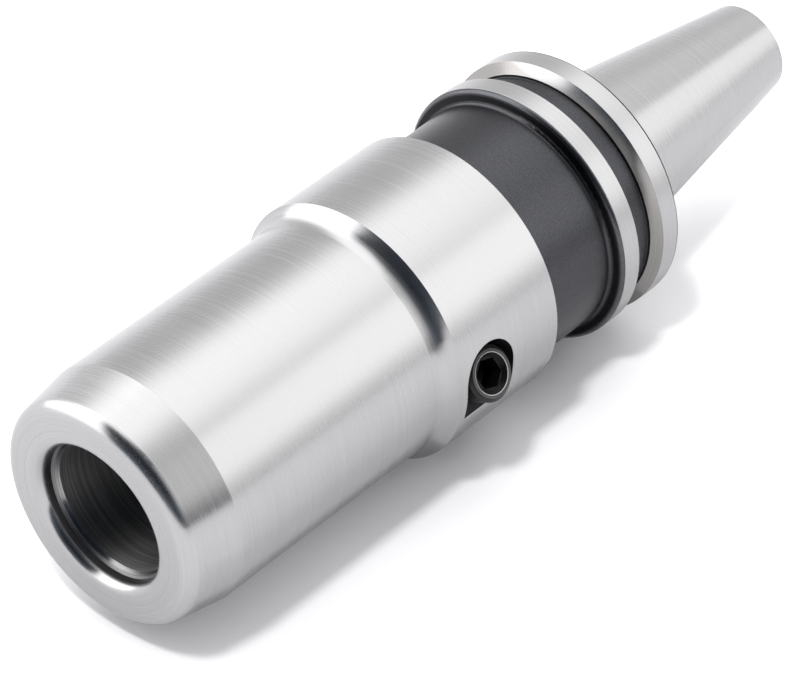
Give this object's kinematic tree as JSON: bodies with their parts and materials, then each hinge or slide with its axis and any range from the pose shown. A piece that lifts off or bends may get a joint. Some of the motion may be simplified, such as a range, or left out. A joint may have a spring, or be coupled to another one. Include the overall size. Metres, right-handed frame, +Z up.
{
  "type": "hydraulic chuck",
  "caption": "Hydraulic expansion chuck with a steep-taper shank, gripper flange, collar with pressure screw and a long round nose with a plain tool bore.",
  "frame": {"origin": "centre of the taper's gauge plane, on the chuck axis", "axes": "+X along the chuck axis towards the nose, +Z up with the chuck lying as in the picture, +Y to the side that the pressure screw is on"},
  "size_m": [0.1714, 0.0524, 0.05],
  "materials": {
    "ground_steel": "ground and turned, neck and flange faces black-oxided",
    "black_steel": "black oxide",
    "bright_steel": "polished",
    "seal_rubber": "matte",
    "white_plastic": "matte"
  },
  "bodies": {
    "holder": {"chuck_body": "ground_steel", "expansion_sleeve": "ground_steel", "fill_screw": "black_steel"},
    "piston": {"pressure_piston": "bright_steel", "piston_seal": "seal_rubber", "piston_backup_ring": "white_plastic", "thrust_ball": "bright_steel"},
    "screw": {"pressure_screw": "black_steel"},
    "stop_ring": {"stop_screw_seal": "seal_rubber"},
    "stop": {"stop_screw": "black_steel"}
  },
  "joints": [
    {"name": "piston_slide", "type": "slide", "parent": "holder", "child": "piston", "axis": [0, -0.866, -0.5], "range_m": [0, 0.003]},
    {"name": "screw_turn", "type": "hinge", "parent": "piston", "child": "screw", "pos_m": [0.0542, 0.006, -0.01039], "axis": [0, -0.866, -0.5], "range_deg": [0, 1080]},
    {"name": "stop_slide", "type": "slide", "parent": "holder", "child": "stop_ring", "axis": [-1, 0, 0], "range_m": [0, 0.01]},
    {"name": "stop_turn", "type": "hinge", "parent": "stop_ring", "child": "stop", "pos_m": [0.048, 0, 0], "axis": [-1, 0, 0], "range_deg": [0, 3600]}
  ],
  "couplings": [
    {"joint": "screw_turn", "follows": "piston_slide", "rad_per_m": 6283.2},
    {"joint": "stop_turn", "follows": "stop_slide", "rad_per_m": 6283.2}
  ]
}
